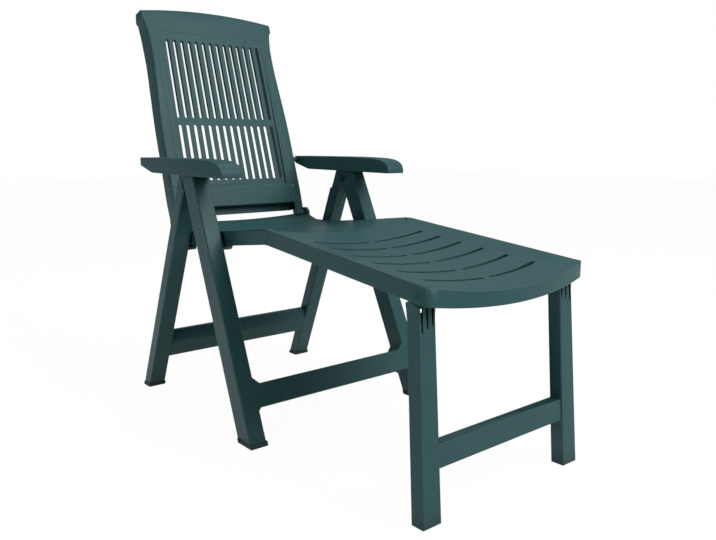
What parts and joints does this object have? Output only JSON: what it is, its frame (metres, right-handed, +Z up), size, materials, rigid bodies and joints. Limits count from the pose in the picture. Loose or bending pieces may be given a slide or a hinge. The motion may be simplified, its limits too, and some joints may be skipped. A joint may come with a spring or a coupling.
{
  "type": "folding plastic sun lounger",
  "caption": "Folding moulded plastic sun lounger with a slotted reclining back, armrests, crossed leg frames and a slotted leg rest on its own leg frame.",
  "frame": {"origin": "on the floor, under the middle of the bounding box", "axes": "+Z up, X across the width, -Y towards the foot end; the sitter faces -Y"},
  "size_m": [0.592, 1.2415, 1.1015],
  "materials": {
    "green_plastic": "satin moulded polypropylene, dark bluish green",
    "cap_plastic": "satin moulded foot cap, dark bluish green",
    "pin_plastic": "satin moulded pin, dark bluish green"
  },
  "bodies": {
    "seat": {"seat_panel": "green_plastic", "seat_pivot_pin_left": "pin_plastic", "seat_pivot_pin_right": "pin_plastic", "back_hinge_pin_left": "pin_plastic", "back_hinge_pin_right": "pin_plastic", "knee_pin_left": "pin_plastic", "knee_pin_right": "pin_plastic"},
    "front_legs": {"front_leg_frame": "green_plastic", "foot_cap_front_left": "cap_plastic", "foot_cap_front_right": "cap_plastic", "apex_pin_left": "pin_plastic", "apex_pin_right": "pin_plastic"},
    "rear_legs": {"rear_leg_frame": "green_plastic", "foot_cap_rear_left": "cap_plastic", "foot_cap_rear_right": "cap_plastic", "seat_rest_peg_left": "pin_plastic", "seat_rest_peg_right": "pin_plastic"},
    "back": {"backrest_panel": "green_plastic", "armrest_pin_left": "pin_plastic", "armrest_pin_right": "pin_plastic"},
    "armrest_left": {"armrest_left": "green_plastic"},
    "armrest_right": {"armrest_right": "green_plastic"},
    "footrest": {"footrest_panel": "green_plastic"},
    "footrest_legs": {"footrest_leg_frame": "green_plastic", "footrest_leg_pin_left": "pin_plastic", "footrest_leg_pin_right": "pin_plastic"}
  },
  "joints": [
    {"name": "front_leg_fold", "type": "hinge", "parent": "seat", "child": "front_legs", "pos_m": [0, 0.14081, 0.457], "axis": [1, 0, 0], "range_deg": [-48, 0]},
    {"name": "rear_leg_fold", "type": "hinge", "parent": "front_legs", "child": "rear_legs", "pos_m": [0, 0.23631, 0.606], "axis": [1, 0, 0], "range_deg": [-46, 0]},
    {"name": "back_recline", "type": "hinge", "parent": "seat", "child": "back", "pos_m": [0, 0.40981, 0.49], "axis": [1, 0, 0], "range_deg": [-30, 0]},
    {"name": "armrest_left_level", "type": "hinge", "parent": "back", "child": "armrest_left", "pos_m": [-0.26, 0.46381, 0.66], "axis": [1, 0, 0], "range_deg": [0, 22]},
    {"name": "armrest_right_level", "type": "hinge", "parent": "back", "child": "armrest_right", "pos_m": [0.26, 0.46381, 0.66], "axis": [1, 0, 0], "range_deg": [0, 22]},
    {"name": "footrest_lift", "type": "hinge", "parent": "seat", "child": "footrest", "pos_m": [0, -0.06969, 0.501], "axis": [1, 0, 0], "range_deg": [-80, 0]},
    {"name": "footrest_leg_fold", "type": "hinge", "parent": "footrest", "child": "footrest_legs", "pos_m": [0, -0.55179, 0.414], "axis": [1, 0, 0], "range_deg": [0, 95]}
  ],
  "couplings": [
    {"joint": "rear_leg_fold", "follows": "front_leg_fold", "ratio": 0.945},
    {"joint": "armrest_left_level", "follows": "back_recline", "ratio": -0.71},
    {"joint": "armrest_right_level", "follows": "back_recline", "ratio": -0.71}
  ]
}
